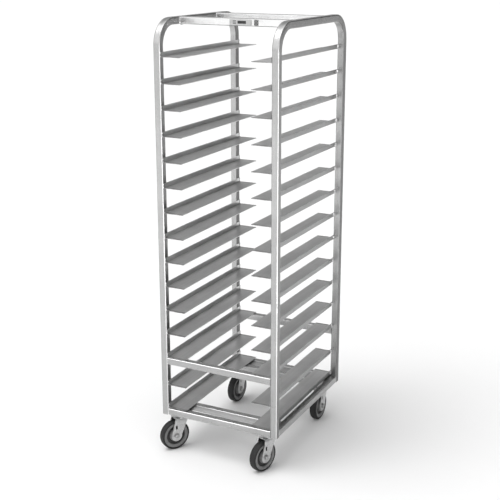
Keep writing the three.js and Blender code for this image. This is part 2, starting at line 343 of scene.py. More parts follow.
def tyre_rubber():
    """Matt black rubber with dusty scuffs and a fine moulded grain."""
    material, nodes, sockets, place = shaded("tyre_rubber", 0.0)
    dust = nodes.noise(place, 70.0, 6.0, 0.72)
    specks = nodes.noise(place, 900.0, 2.0)
    scuffed = nodes.math("MULTIPLY", nodes.mask(dust, 0.5, 0.75), nodes.mask(specks, 0.35, 0.65))
    nodes.link(nodes.mixed(scuffed, grey(0.006), grey(0.04)), sockets["Base Color"])
    nodes.link(nodes.ranged(dust, 0.5, 0.78, 0.3, 0.7), sockets["Roughness"])
    nodes.link(nodes.bump(specks, 0.4, 0.08 * MM), sockets["Normal"])
    return material


def moulded_plastic(name, dark, light):
    """Injection-moulded plastic: faint flow marks and a fine pebble."""
    material, nodes, sockets, place = shaded(name, 0.0)
    flow = nodes.noise(nodes.stretched(place, (30.0, 30.0, 90.0)), 1.0, 4.0)
    pebble = nodes.noise(place, 1100.0, 2.0)
    colour = nodes.mixed(nodes.mask(flow, 0.3, 0.7), grey(dark), grey(light))
    nodes.link(colour, sockets["Base Color"])
    nodes.link(nodes.ranged(flow, 0.38, 0.56, 0.3, 0.7), sockets["Roughness"])
    nodes.link(nodes.bump(pebble, 0.25, 0.05 * MM), sockets["Normal"])
    return material


def label_foil(name, dark, light):
    """Printed foil, left blank: a faint weave and rubbed patches."""
    material, nodes, sockets, place = shaded(name, 0.0)
    weave = nodes.noise(nodes.stretched(place, (1500.0, 1500.0, 300.0)), 1.0, 2.0)
    rubbed = nodes.noise(place, 90.0, 5.0, 0.7)
    colour = nodes.mixed(nodes.mask(rubbed, 0.35, 0.7), grey(light), grey(dark))
    nodes.link(colour, sockets["Base Color"])
    nodes.link(nodes.ranged(rubbed, 0.3, 0.5, 0.3, 0.7), sockets["Roughness"])
    nodes.link(nodes.bump(weave, 0.2, 0.02 * MM), sockets["Normal"])
    return material


def printed_squares(name, dark, light, size):
    """Foil printed with a plain pattern of dark and pale squares."""
    material, nodes, sockets, place = shaded(name, 0.0)
    squares = nodes.new("ShaderNodeTexChecker")
    squares.inputs["Scale"].default_value = 1 / size
    nodes.link(nodes.stretched(place, (1.0, 0.0, 1.0)), squares.inputs["Vector"])
    rubbed = nodes.noise(place, 220.0, 4.0, 0.7)
    worn = nodes.mask(rubbed, 0.35, 0.7)
    worn_light = nodes.mixed(worn, grey(light), grey(light * 0.7))
    worn_dark = nodes.mixed(worn, grey(dark), grey(dark * 2))
    nodes.link(nodes.mixed(squares.outputs["Fac"], worn_light, worn_dark), sockets["Base Color"])
    nodes.link(nodes.ranged(rubbed, 0.35, 0.55, 0.3, 0.7), sockets["Roughness"])
    nodes.link(nodes.bump(rubbed, 0.2, 0.02 * MM), sockets["Normal"])
    return material


def floor_paint():
    """Pale matt paint, very slightly mottled."""
    material, nodes, sockets, place = shaded("floor_paint", 0.0)
    mottle = nodes.noise(place, 1.3, 4.0)
    nodes.link(nodes.mixed(mottle, grey(0.88), grey(0.91)), sockets["Base Color"])
    sockets["Roughness"].default_value = 0.9
    sockets["Specular IOR Level"].default_value = 0.1
    return material


# Painted light and shade: the hoops' sides get painted shade; corners get painted highlights (hoops' front
# posts, lower bars) or painted shade (other hoop corners, top bars).
hoop_tube = brushed_metal("satin_tube_bent", TUBE_TONES, bent=True, side=(0, SIDE_PAINTED_SHADE), corner=(0, CORNER_PAINTED_HIGHLIGHT))
cross_tube = brushed_metal("satin_tube_across", TUBE_TONES, grain_axis=0, corner=(1, EDGE_PAINTED_HIGHLIGHT))
side_tube = brushed_metal("satin_tube_side", TUBE_TONES, grain_axis=1, corner=(0, EDGE_PAINTED_HIGHLIGHT))
top_tube = brushed_metal("tube_across_painted_highlight", HIGHLIGHT_PAINTED_TONES, grain_axis=0, corner=(1, SHADED_CORNER))
slide_ends = [corner.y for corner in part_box("slide_left_01")]
# Painted light on the left slides' +X faces, painted shade on the right slides' +X faces.
slide_sheet = {
    "left": brushed_metal("slide_sheet_left", SLIDE_TONES, 1, side=(1, SIDE_PAINTED_LIGHT), tinted_ends=slide_ends),
    "right": brushed_metal("slide_sheet_right", SLIDE_TONES, 1, side=(1, SIDE_PAINTED_SHADE), tinted_ends=slide_ends),
}
weld = weld_metal()
zinc = zinc_plate("zinc_plating", 0.42, 0.60)
bolt_zinc = zinc_plate("bolt_plating", 0.30, 0.48)
rubber = tyre_rubber()
rim_plastic = moulded_plastic("rim_plastic", 0.15, 0.21)
# The web's near-black is painted shade for the recess between hub and rim.
web_painted_shade = moulded_plastic("web_painted_shade", 0.010, 0.018)
label_paper = label_foil("label_paper", 0.40, 0.50)
label_ink = label_foil("label_ink", 0.012, 0.03)
label_squares = printed_squares("label_squares", 0.008, 0.3, 5 * MM)

# -------- modifiers

BEVEL_SEGMENTS = 2
BEVEL_ANGLE = math.radians(50)


def smooth_by_angle_group():
    """Geometry nodes that shade smooth and keep edges over SMOOTH_ANGLE sharp."""
    group = bpy.data.node_groups.new("smooth_by_angle", "GeometryNodeTree")
    group.interface.new_socket("Geometry", in_out="INPUT", socket_type="NodeSocketGeometry")
    group.interface.new_socket("Geometry", in_out="OUTPUT", socket_type="NodeSocketGeometry")
    source = group.nodes.new("NodeGroupInput")
    result = group.nodes.new("NodeGroupOutput")
    faces = group.nodes.new("GeometryNodeSetShadeSmooth")
    edges = group.nodes.new("GeometryNodeSetShadeSmooth")
    edges.domain = "EDGE"
    angle = group.nodes.new("GeometryNodeInputMeshEdgeAngle")
    below = group.nodes.new("FunctionNodeCompare")
    below.operation = "LESS_THAN"
    below.inputs["B"].default_value = SMOOTH_ANGLE
    group.links.new(angle.outputs["Unsigned Angle"], below.inputs["A"])
    group.links.new(source.outputs[0], faces.inputs["Geometry"])
    group.links.new(faces.outputs[0], edges.inputs["Geometry"])
    group.links.new(below.outputs["Result"], edges.inputs["Shade Smooth"])
    group.links.new(edges.outputs[0], result.inputs[0])
    return group


smooth_group = smooth_by_angle_group()


def soften(piece, width=0.0):
    """Bevels the edges over BEVEL_ANGLE if width is given, then shades smooth up to SMOOTH_ANGLE."""
    if width:
        bevel = piece.modifiers.new("edge_bevel", "BEVEL")
        bevel.width = width
        bevel.segments = BEVEL_SEGMENTS
        bevel.limit_method = "ANGLE"
        bevel.angle_limit = BEVEL_ANGLE
    smooth = piece.modifiers.new("smooth", "NODES")
    smooth.node_group = smooth_group
    level = piece.modifiers.new("level_flats", "WEIGHTED_NORMAL")
    level.keep_sharp = True


def finish_node(name, material, width=0.0):
    """Gives a CAD node its material, joins its loose triangles and softens its edges."""
    node = frame["nodes"][name]
    node.data.materials.clear()
    node.data.materials.append(material)
    join = node.modifiers.new("join_triangles", "WELD")
    join.merge_threshold = JOIN_DISTANCE
    soften(node, width)


# -------- mesh code


def add_piece(name, mesh, body, material, place=None):
    """Makes an object of a bmesh, moved to place if given, and lets it ride on a body."""
    if place is not None:
        mesh.transform(place)
    bmesh.ops.recalc_face_normals(mesh, faces=mesh.faces)
    data = bpy.data.meshes.new(name)
    mesh.to_mesh(data)
    mesh.free()
    data.materials.append(material)
    data.polygons.foreach_set("use_smooth", [True] * len(data.polygons))
    data.set_sharp_from_angle(angle=SMOOTH_ANGLE)
    piece = bpy.data.objects.new(name, data)
    bpy.context.scene.collection.objects.link(piece)
    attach(piece, body)
    return piece


def add_ring(mesh, points):
    """A ring's vertices, with no faces yet."""
    return [mesh.verts.new(point) for point in points]


def skin(mesh, first, second):
    """Quads between two rings of the same length."""
    count = len(first)
    for i in range(count):
        after = (i + 1) % count
        mesh.faces.new((first[i], first[after], second[after], second[i]))


def fill_between(mesh, outer, inner):
    """A flat face with a hole: the area between two coplanar rings."""
    edges = []
    for ring in (outer, inner):
        for i, vert in enumerate(ring):
            after = ring[(i + 1) % len(ring)]
            edges.append(mesh.edges.get((vert, after)) or mesh.edges.new((vert, after)))
    bmesh.ops.triangle_fill(mesh, use_beauty=True, edges=edges)


def add_turned(mesh, profile, segments, place=Matrix(), closed=True):
    """Turns (radius, along) pairs about X. closed joins the last pair to the first."""
    rings = []
    for radius, along in profile:
        ring = []
        for i in range(segments):
            angle = 2 * math.pi * i / segments
            ring.append(place @ Vector((along, radius * math.cos(angle), radius * math.sin(angle))))
        rings.append(add_ring(mesh, ring))
    for first, second in zip(rings, rings[1:]):
        skin(mesh, first, second)
    if closed:
        skin(mesh, rings[-1], rings[0])
    else:
        mesh.faces.new(rings[0])
        mesh.faces.new(rings[-1])


def mirrored(half):
    """A wheel profile from its right half, listed from the bore outwards."""
    return half + [(radius, -along) for radius, along in reversed(half)]


def arc(centre, radius, start, end, steps):
    """Points on an arc in a plane, angles in degrees."""
    points = []
    for i in range(steps + 1):
        angle = math.radians(start + (end - start) * i / steps)
        points.append((centre[0] + radius * math.cos(angle), centre[1] + radius * math.sin(angle)))
    return points


def rounded_square(half, corner, steps):
    """Outline of a square with rounded corners, centred on the origin."""
    inner = half - corner
    points = []
    for quarter in range(4):
        side = math.radians(45 + 90 * quarter)
        centre = (math.copysign(inner, math.cos(side)), math.copysign(inner, math.sin(side)))
        points += arc(centre, corner, 90 * quarter, 90 * quarter + 90, steps)
    return points


# -------- side hoops

BEND_RADIUS = 90 * MM
TUBE_CORNER = 4 * MM
TUBE_WALL = 1.8 * MM
PLUG_DEPTH = 3 * MM
CORNER_STEPS = 5
BEND_STEPS = 18


def hoop_stations(low, high, half):
    """Centre-line points of a hoop as (y, z), its direction's angle from +Y, and the length so far."""
    front = low.y + half
    rear = high.y - half
    rail = high.z - half
    stations = [((front, low.z), 90.0)]
    for centre_y, start in ((front + BEND_RADIUS, 180), (rear - BEND_RADIUS, 90)):
        for i in range(BEND_STEPS + 1):
            turn = start - 90 * i / BEND_STEPS
            at = arc((centre_y, rail - BEND_RADIUS), BEND_RADIUS, turn, turn, 1)[0]
            stations.append((at, turn - 90))
    stations.append(((rear, low.z), -90.0))
    length = 0.0
    measured = []
    before = stations[0][0]
    for at, degrees in stations:
        length += math.dist(before, at)
        before = at
        measured.append((at, degrees, length))
    return measured


def close_end(mesh, ring, half, run):
    """Closes a hoop's cut end: the tube's wall, and a plug set PLUG_DEPTH up inside it."""
    centre = sum((vert.co for vert in ring), Vector()) / len(ring)
    share = (half - TUBE_WALL) / half
    lip = add_ring(mesh, [centre + (vert.co - centre) * share for vert in ring])
    plug = add_ring(mesh, [vert.co + Vector((0, 0, PLUG_DEPTH)) for vert in lip])
    for vert, inner, deep in zip(ring, lip, plug):
        inner[run] = vert[run]
        deep[run] = vert[run]
    skin(mesh, ring, lip)
    skin(mesh, lip, plug)
    mesh.faces.new(plug)


def make_hoop(word):
    """One side hoop, swept along its bent centre line."""
    node = f"hoop_{word}"
    low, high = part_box(node)
    half = (high.x - low.x) / 2
    middle = (high.x + low.x) / 2
    section = rounded_square(half, TUBE_CORNER, CORNER_STEPS)
    mesh = bmesh.new()
    run = mesh.verts.layers.float_vector.new(RUN)
    bend = mesh.verts.layers.float.new(BEND)
    rings = []
    for (y, z), degrees, length in hoop_stations(low, high, half):
        across = Vector((0, -math.sin(math.radians(degrees)), math.cos(math.radians(degrees))))
        centre = Vector((middle, y, z))
        ring = add_ring(mesh, [centre + Vector((u, 0, 0)) + across * v for u, v in section])
        for vert, (u, v) in zip(ring, section):
            vert[run] = (u, v, length)
            vert[bend] = abs(math.sin(math.radians(2 * degrees)))
        rings.append(ring)
    for first, second in zip(rings, rings[1:]):
        skin(mesh, first, second)
    close_end(mesh, rings[0], half, run)
    close_end(mesh, rings[-1], half, run)
    hoop = add_piece(f"side_hoop_{word}", mesh, "frame", hoop_tube)
    soften(hoop)
    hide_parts(node)


for word in ("left", "right"):
    make_hoop(word)

# -------- bars and slides

SHEET_BEVEL = 0.35 * MM

for end in ("front", "rear"):
    finish_node(f"top_bar_{end}", top_tube)
    for bar in ("mid", "base", "caster"):
        finish_node(f"{bar}_bar_{end}", cross_tube)
slides = {}
for word in ("left", "right"):
    finish_node(f"base_bar_{word}", side_tube)
    slides[word] = sorted(name for name in frame["nodes"] if name.startswith(f"slide_{word}_"))
    for name in slides[word]:
        finish_node(name, slide_sheet[word], SHEET_BEVEL)

# -------- welds

# A bead's section, as shares of its size.
BEAD_ROOT = 0.15
BEAD_CHORD = 0.55
BEAD_BULGE = 0.42

# Its ripples' height and its thickness at the tips, as shares of its thickness.
RIPPLE_HEIGHT = 0.07
BEAD_TIP = 0.12

RIPPLE = 2.4 * MM
BEAD_STEP = 0.8 * MM
BEAD_SIDES = 6
BEAD_INSET = 1 * MM
SEAM_INSET = 3 * MM
SEAM_WIDTH = 1.2 * MM
SEAM_DEPTH = 1.6 * MM
SEAM_DROP = 0.04 * MM
BAR_BEAD = 3.6 * MM
TACK_BEAD = 3.4 * MM
CORNER_BEAD = 5.6 * MM
TACK_LENGTH = 7 * MM
TACK_INSET = 1.6 * MM
CORNER_INSET = 0.5 * MM

# The axis and the direction that each side faces.
SIDES = {"front": (1, -1), "rear": (1, 1), "bottom": (2, -1), "top": (2, 1), "left": (0, -1), "right": (0, 1)}


def add_bead(mesh, start, end, along_a, along_b, size):
    """A rippled convex fillet in the corner between two faces, which run off along_a and along_b."""
    length = (end - start).length
    count = max(4, round(length / BEAD_STEP))
    rings = []
    for i in range(count + 1):
        share = i / count
        taper = (1 - abs(2 * share - 1) ** 6) ** 0.5
        centre = start.lerp(end, share)
        ring = [centre - (along_a + along_b) * size * BEAD_ROOT]
        for j in range(BEAD_SIDES + 1):
            angle = math.pi / 2 * j / BEAD_SIDES
            chord = 1 / (math.cos(angle) + math.sin(angle))
            phase = 2 * math.pi * (share * length - 0.25 * RIPPLE * math.sin(2 * angle)) / RIPPLE
            ripple = 1 + RIPPLE_HEIGHT * math.sin(phase)
            radius = size * (BEAD_CHORD * chord + BEAD_BULGE) * ripple * max(taper, BEAD_TIP)
            ring.append(centre + (along_a * math.cos(angle) + along_b * math.sin(angle)) * radius)
        rings.append(add_ring(mesh, ring))
    for first, second in zip(rings, rings[1:]):
        skin(mesh, first, second)
    mesh.faces.new(rings[0])
    mesh.faces.new(rings[-1])


def add_seam(mesh, centre, axis, across, out, length):
    """Weld metal ground flush: a thin strip that fills the gap just under the surface."""
    corners = []
    for s in (-0.5, 0.5):
        for t in (-0.5, 0.5):
            for drop in (SEAM_DROP, SEAM_DEPTH):
                point = centre + axis * SEAM_WIDTH * s + across * length * t - out * drop
                corners.append(mesh.verts.new(point))
    bmesh.ops.convex_hull(mesh, input=corners)


def unit(index, sign=1):
    """A unit vector along X, Y or Z."""
    vector = Vector((0, 0, 0))
    vector[index] = sign
    return vector


def bar_welds(mesh, node, run, fillets, seams):
    """Welds round both ends of a bar that runs along one axis. fillets and seams name its sides."""
    low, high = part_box(node)
    middle = (low + high) / 2
    for end_sign, end in ((-1, low[run]), (1, high[run])):
        for side in fillets + seams:
            index, sign = SIDES[side]
            other = 3 - run - index
            out = unit(index, sign)
            centre = middle.copy()
            centre[run] = end
            centre[index] = high[index] if sign > 0 else low[index]
            span = high[other] - low[other]
            if side in fillets:
                reach = unit(other) * (span / 2 - BEAD_INSET)
                add_bead(mesh, centre - reach, centre + reach, unit(run, -end_sign), out, BAR_BEAD)
            else:
                add_seam(mesh, centre, unit(run), unit(other), out, span - 2 * SEAM_INSET)


def make_bar_welds():
    """Beads in the corners of the bars' joints, and ground seams on their flush sides."""
    mesh = bmesh.new()
    for end, inward in (("front", "rear"), ("rear", "front")):
        bar_welds(mesh, f"top_bar_{end}", 0, ["front", "rear", "bottom"], ["top"])
        bar_welds(mesh, f"mid_bar_{end}", 0, [inward, "bottom"], [end])
        bar_welds(mesh, f"base_bar_{end}", 0, [inward], [end, "bottom", "top"])
        bar_welds(mesh, f"caster_bar_{end}", 0, ["front", "rear"], ["bottom", "top"])
    for word, inward in (("left", "right"), ("right", "left")):
        bar_welds(mesh, f"base_bar_{word}", 1, [inward], [word, "bottom", "top"])
    add_piece("frame_welds", mesh, "frame", weld)


make_bar_welds()


def make_slide_welds(word):
    """Tack welds at each slide's ends, and upright beads in the corners between its flange and the posts."""
    mesh = bmesh.new()
    hoop_low, hoop_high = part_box(f"hoop_{word}")
    tube = hoop_high.x - hoop_low.x
    inner_face = hoop_high.x if word == "left" else hoop_low.x
    inward = unit(0, 1 if word == "left" else -1)
    tack = unit(2) * TACK_LENGTH
    for name in slides[word]:
        low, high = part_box(name)
        for toward_end, slide_end, post_face in (
            (-1, low.y, hoop_low.y + tube),
            (1, high.y, hoop_high.y - tube),
        ):
            tack_y = slide_end - toward_end * TACK_INSET
            foot = Vector((inner_face, tack_y, low.z))
            head = Vector((inner_face, tack_y, high.z))
            add_bead(mesh, foot, foot + tack, unit(1, toward_end), inward, TACK_BEAD)
            add_bead(mesh, head - tack, head, unit(1, toward_end), inward, TACK_BEAD)
            foot = Vector((inner_face, post_face, low.z + CORNER_INSET))
            head = Vector((inner_face, post_face, high.z - CORNER_INSET))
            add_bead(mesh, foot, head, unit(1, -toward_end), -inward, CORNER_BEAD)
    add_piece(f"slide_welds_{word}", mesh, "frame", weld)


for word in ("left", "right"):
    make_slide_welds(word)

# -------- fasteners

HEX_STEPS = 48
HEX_TOP = 0.94  # the flat top's radius, over half the distance across the flats
HEX_CHAMFER = 0.58
WASHER_STEPS = 40
WASHER_THICK = 1.4 * MM
WASHER_EASE = 0.3 * MM
SEAT_GAP = 0.05 * MM


def add_hex(mesh, place, across_flats, height):
    """A chamfered hex head standing along local +Z from z = 0."""
    inner = across_flats / 2
    flat_top = inner * HEX_TOP
    rings = [[], [], []]
    for i in range(HEX_STEPS):
        angle = 2 * math.pi * i / HEX_STEPS
        from_flat = (angle + math.pi / 6) % (math.pi / 3) - math.pi / 6
        radius = inner / math.cos(from_flat)
        direction = Vector((math.cos(angle), math.sin(angle), 0))
        shoulder = height - (radius - flat_top) * HEX_CHAMFER
        rings[0].append(place @ (direction * radius))
        rings[1].append(place @ (direction * radius + Vector((0, 0, shoulder))))
        rings[2].append(place @ (direction * flat_top + Vector((0, 0, height))))
    made = [add_ring(mesh, ring) for ring in rings]
    skin(mesh, made[0], made[1])
    skin(mesh, made[1], made[2])
    mesh.faces.new(made[0])
    mesh.faces.new(made[2])


def add_washer(mesh, place, bore, rim):
    """A flat washer with eased edges, from z = 0 up local +Z."""
    profile = [
        (bore, 0),
        (bore, WASHER_THICK),
        (rim - WASHER_EASE, WASHER_THICK),
        (rim, WASHER_THICK - WASHER_EASE),
        (rim, WASHER_EASE),
        (rim - WASHER_EASE, 0),
    ]
    upright = place @ Matrix.Rotation(-math.pi / 2, 4, "Y")
    add_turned(mesh, profile, WASHER_STEPS, upright)


# -------- casters

# In the caster's own frame, which caster_place describes.
FORK_HALF = 21 * MM
FORK_THICK = 3 * MM
FORK_TOP = 142 * MM
FORK_FRONT = -40 * MM
FORK_REAR = 15.5 * MM
FORK_BEVEL = 0.25 * MM
LEG_TOP = FORK_TOP - 9 * MM
CROWN_LOW = FORK_TOP - 15 * MM
CROWN_RADIUS = 6 * MM
SKIRT_INSET = 0.3 * MM
RIM_WIDTH = 3.2 * MM
RIM_RISE = 1.1 * MM
SLOT_BEVEL = 0.5 * MM
TRAIL = 35 * MM
WHEEL_RADIUS = 63.5 * MM
WHEEL_STEPS = 112
EYE_RADIUS = 24 * MM
AXLE_RADIUS = 6 * MM
AXLE_TIP = 28.8 * MM
AXLE_STEPS = 32
PLATE_THICK = 3 * MM
PLATE_BEVEL = 0.5 * MM
PLATE_BOLTS = (22.2 * MM, 39.4 * MM)


def caster_place(name):
    """The caster's own frame at rest, with X along its axle and its wheel towards -Y.

    The origin is on the floor under the kingpin.
    """
    kingpin = Vector(joints[f"swivel_{name}"]["pos_m"])
    axle = Vector(joints[f"roll_{name}"]["pos_m"])
    forward = Vector((kingpin.x - axle.x, kingpin.y - axle.y, 0)).normalized()
    across = forward.cross(Vector((0, 0, 1)))
    place = Matrix((across, forward, Vector((0, 0, 1)))).transposed().to_4x4()
    place.translation = Vector((kingpin.x, kingpin.y, 0))
    return place


def leg_outline(inset):
    """Side outline of a fork leg as (y, z), pulled in by inset."""
    eye = EYE_RADIUS - inset
    rear_top = (FORK_REAR - inset, LEG_TOP)
    rear_low = (FORK_REAR - inset, FORK_TOP - 17 * MM)
    front_low = (FORK_FRONT - 2 * MM + inset, FORK_TOP - 16 * MM)
    front_top = (FORK_FRONT + inset, LEG_TOP)
    around = arc((-TRAIL, WHEEL_RADIUS), eye, 8, -188, 28)
    return [rear_top, rear_low, *around, front_low, front_top]


def slot_outline(grow):
    """The rounded slot through a leg, as (y, z)."""
    half_width = 4 * MM + grow
    rise = 5 * MM
    y = -TRAIL + 1 * MM
    z = WHEEL_RADIUS + 37 * MM
    return arc((y, z + rise), half_width, 0, 180, 8) + arc((y, z - rise), half_width, 180, 360, 8)


def add_leg(mesh, side):
    """One pressed leg: a flat blade with a raised rim round its edge, and a slot."""
    inner_x = (FORK_HALF - FORK_THICK) * side
    outer_x = FORK_HALF * side
    rim_x = (FORK_HALF + RIM_RISE) * side

    def ring(points, x):
        return add_ring(mesh, [Vector((x, y, z)) for y, z in points])

    back = ring(leg_outline(0), inner_x)
    edge = ring(leg_outline(0), rim_x - 0.4 * MM * side)
    crest_out = ring(leg_outline(0.5 * MM), rim_x)
    crest_in = ring(leg_outline(RIM_WIDTH), rim_x)
    foot = ring(leg_outline(RIM_WIDTH + 1.2 * MM), outer_x)
    for first, second in ((back, edge), (edge, crest_out), (crest_out, crest_in), (crest_in, foot)):
        skin(mesh, first, second)
    slot_back = ring(slot_outline(0), inner_x)
    slot_front = ring(slot_outline(0), outer_x - SLOT_BEVEL * side)
    slot_lip = ring(slot_outline(SLOT_BEVEL), outer_x)
    skin(mesh, slot_back, slot_front)
    skin(mesh, slot_front, slot_lip)
    fill_between(mesh, foot, slot_lip)
    fill_between(mesh, back, slot_back)


def add_crown(mesh):
    """The pressed bridge over the wheel: a U section with rounded shoulders, run along the trail.

    Its skirts are thinner and shorter than the legs by SKIRT_INSET all round, and end inside them.
    """
    half = FORK_HALF - SKIRT_INSET
    thick = FORK_THICK - 2 * SKIRT_INSET
    corner = (half - CROWN_RADIUS, FORK_TOP - CROWN_RADIUS)
    right = [(half, CROWN_LOW), *arc(corner, CROWN_RADIUS, 0, 90, 7)]
    right_inner = [*arc(corner, CROWN_RADIUS - thick, 90, 0, 7), (half - thick, CROWN_LOW)]
    section = right + [(-x, z) for x, z in reversed(right)]
    section += [(-x, z) for x, z in reversed(right_inner)] + right_inner
    ends = []
    for y in (FORK_FRONT + SKIRT_INSET, FORK_REAR - SKIRT_INSET):
        ends.append(add_ring(mesh, [Vector((x, y, z)) for x, z in section]))
    skin(mesh, ends[0], ends[1])
    mesh.faces.new(ends[0])
    mesh.faces.new(ends[1])


def add_lower_race(mesh):
    """The dished ring on the crown that carries the balls."""
    bore = 6.6 * MM
    profile = [
        (bore, FORK_TOP - 0.6 * MM),
        (26 * MM, FORK_TOP - 0.6 * MM),
        (26.4 * MM, FORK_TOP + 0.6 * MM),
        (25 * MM, FORK_TOP + 2.4 * MM),
        (22.5 * MM, FORK_TOP + 4.6 * MM),
        (bore, FORK_TOP + 5.0 * MM),
    ]
    add_turned(mesh, profile, 56, Matrix.Rotation(-math.pi / 2, 4, "Y"))


def make_fork(name, place):
    """The swivelling fork: two legs, the crown over them and the lower ball race."""
    mesh = bmesh.new()
    for side in (-1, 1):
        add_leg(mesh, side)
    add_crown(mesh)
    add_lower_race(mesh)
    fork = add_piece(f"fork_{name}", mesh, f"swivel_{name}", zinc, place)
    soften(fork, FORK_BEVEL)
    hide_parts(f"caster_{name}_fork")


def make_axle(name, place):
    """Axle bolt with its head, lock nut and washers."""
    mesh = bmesh.new()
    shaft = [
        (AXLE_RADIUS - 0.8 * MM, -FORK_HALF - 6 * MM),
        (AXLE_RADIUS, -FORK_HALF - 5 * MM),
        (AXLE_RADIUS, AXLE_TIP - 1.2 * MM),
        (AXLE_RADIUS - 1 * MM, AXLE_TIP),
    ]
    at_axle = Matrix.Translation((0, -TRAIL, WHEEL_RADIUS))
    add_turned(mesh, shaft, AXLE_STEPS, at_axle, closed=False)
    for side in (-1, 1):
        outward = at_axle @ Matrix.Translation((side * (FORK_HALF + SEAT_GAP), 0, 0))
        outward = outward @ Matrix.Rotation(side * math.pi / 2, 4, "Y")
        add_washer(mesh, outward, AXLE_RADIUS + 0.2 * MM, 12 * MM)
        seat = outward @ Matrix.Translation((0, 0, WASHER_THICK)) @ Matrix.Rotation(0.3, 4, "Z")
        add_hex(mesh, seat, 18 * MM, 5 * MM)
    nut_collar = [
        (6.3 * MM, 0),
        (8.3 * MM, 0),
        (8.3 * MM, 0.9 * MM),
        (7.4 * MM, 1.4 * MM),
        (6.3 * MM, 1.4 * MM),
    ]
    collar_place = at_axle @ Matrix.Translation((FORK_HALF + 6.3 * MM, 0, 0))
    add_turned(mesh, nut_collar, AXLE_STEPS, collar_place)
    add_piece(f"axle_{name}", mesh, f"swivel_{name}", bolt_zinc, place)


def wheel_place(place):
    """The wheel's frame, on its axle, from its caster's frame."""
    return place @ Matrix.Translation((0, -TRAIL, WHEEL_RADIUS))


def make_tyre(name, place):
    """Tyre with a slightly crowned tread, rounded shoulders and a moulding line."""
    half_width = 16 * MM
    inner = 55.2 * MM
    shoulder = arc((WHEEL_RADIUS - 8 * MM, half_width - 7.8 * MM), 7.8 * MM, 90, 12, 10)
    tread = [
        (WHEEL_RADIUS - 0.1 * MM, 5.4 * MM),
        (WHEEL_RADIUS, 3 * MM),
        (WHEEL_RADIUS, 0.5 * MM),
        (WHEEL_RADIUS - 0.25 * MM, 0.3 * MM),
    ]
    half = [(inner, half_width - 1.2 * MM), (inner + 1 * MM, half_width), *shoulder, *tread]
    mesh = bmesh.new()
    add_turned(mesh, mirrored(half), WHEEL_STEPS)
    tyre = add_piece(f"tyre_{name}", mesh, f"wheel_{name}", rubber, wheel_place(place))
    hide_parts(f"caster_{name}_tyre")


def make_rim(name, at_wheel):
    """Grey rim with three moulding pips on each side."""
    profile = [
        (41.5 * MM, 8 * MM),
        (42 * MM, 12.4 * MM),
        (43.4 * MM, 13.6 * MM),
        (46 * MM, 14.6 * MM),
        (51 * MM, 15.0 * MM),
        (54 * MM, 14.6 * MM),
        (55 * MM, 13.6 * MM),
    ]
    mesh = bmesh.new()
    add_turned(mesh, mirrored(profile), WHEEL_STEPS)
    for side in (-1, 1):
        pip = [(2.6 * MM, side * 14.2 * MM), (2.6 * MM, side * 15.2 * MM), (2.2 * MM, side * 15.5 * MM)]
        for turn in (20, 140, 260):
            at_pip = Matrix.Rotation(math.radians(turn), 4, "X") @ Matrix.Translation((0, 48.5 * MM, 0))
            add_turned(mesh, pip, 20, at_pip, closed=False)
    rim = add_piece(f"wheel_rim_{name}", mesh, f"wheel_{name}", rim_plastic, at_wheel)
    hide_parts(f"caster_{name}_wheel")


def make_web(name, at_wheel):
    """The web between hub and rim, coloured near black as painted shade for its recess."""
    profile = [(26 * MM, 7 * MM), (34 * MM, 6.2 * MM), (41.8 * MM, 7 * MM)]
    mesh = bmesh.new()
    add_turned(mesh, mirrored(profile), 96)
    add_piece(f"wheel_web_{name}", mesh, f"wheel_{name}", web_painted_shade, at_wheel)


def make_hub(name, at_wheel):
    """The grey hub round the bearings."""
    profile = [
        (6.6 * MM, 15 * MM),
        (13 * MM, 15 * MM),
        (13.4 * MM, 16.9 * MM),
        (24.5 * MM, 16.9 * MM),
        (26.4 * MM, 15.4 * MM),
        (27.4 * MM, 6.4 * MM),
    ]
    mesh = bmesh.new()
    add_turned(mesh, mirrored(profile), 80)
    add_piece(f"wheel_hub_{name}", mesh, f"wheel_{name}", rim_plastic, at_wheel)


def make_bearing_covers(name, at_wheel):
    """A steel cover over the bearing on each side of the hub."""
    mesh = bmesh.new()
    for side in (-1, 1):
        profile = [
            (6.7 * MM, side * 15.1 * MM),
            (6.7 * MM, side * 17.3 * MM),
            (10 * MM, side * 17.5 * MM),
            (12.6 * MM, side * 16.8 * MM),
            (12.8 * MM, side * 15.1 * MM),
        ]
        add_turned(mesh, profile, 56)
    add_piece(f"bearing_covers_{name}", mesh, f"wheel_{name}", bolt_zinc, at_wheel)


def make_wheel(name, place):
    """All of a wheel inside its tyre."""
    at_wheel = wheel_place(place)
    make_rim(name, at_wheel)
    make_web(name, at_wheel)
    make_hub(name, at_wheel)
    make_bearing_covers(name, at_wheel)


def make_plate_bolts(name):
    """Four bolts under a mounting plate, with washers, and their thin nuts on top of the base's bars."""
    low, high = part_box(f"caster_{name}_plate")
    middle = (low + high) / 2
    plate_under = high.z - PLATE_THICK
    bar_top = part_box("base_bar_front")[1].z
    across_flats = 12.6 * MM
    mesh = bmesh.new()
    for i, x in enumerate((-PLATE_BOLTS[0], PLATE_BOLTS[0])):
        for j, y in enumerate((-PLATE_BOLTS[1], PLATE_BOLTS[1])):
            turn = Matrix.Rotation(0.4 + 0.7 * i + 1.1 * j, 4, "Z")  # no two turned alike
            under = Matrix.Translation((middle.x + x, middle.y + y, plate_under - SEAT_GAP))
            under = under @ Matrix.Rotation(math.pi, 4, "X") @ turn
            add_washer(mesh, under, 4.2 * MM, 8 * MM)
            head = under @ Matrix.Translation((0, 0, WASHER_THICK))
            add_hex(mesh, head, across_flats, 4.6 * MM)
            over = Matrix.Translation((middle.x + x, middle.y + y, bar_top + SEAT_GAP)) @ turn
            add_hex(mesh, over, across_flats, 4.4 * MM)
    add_piece(f"plate_bolts_{name}", mesh, "frame", bolt_zinc)


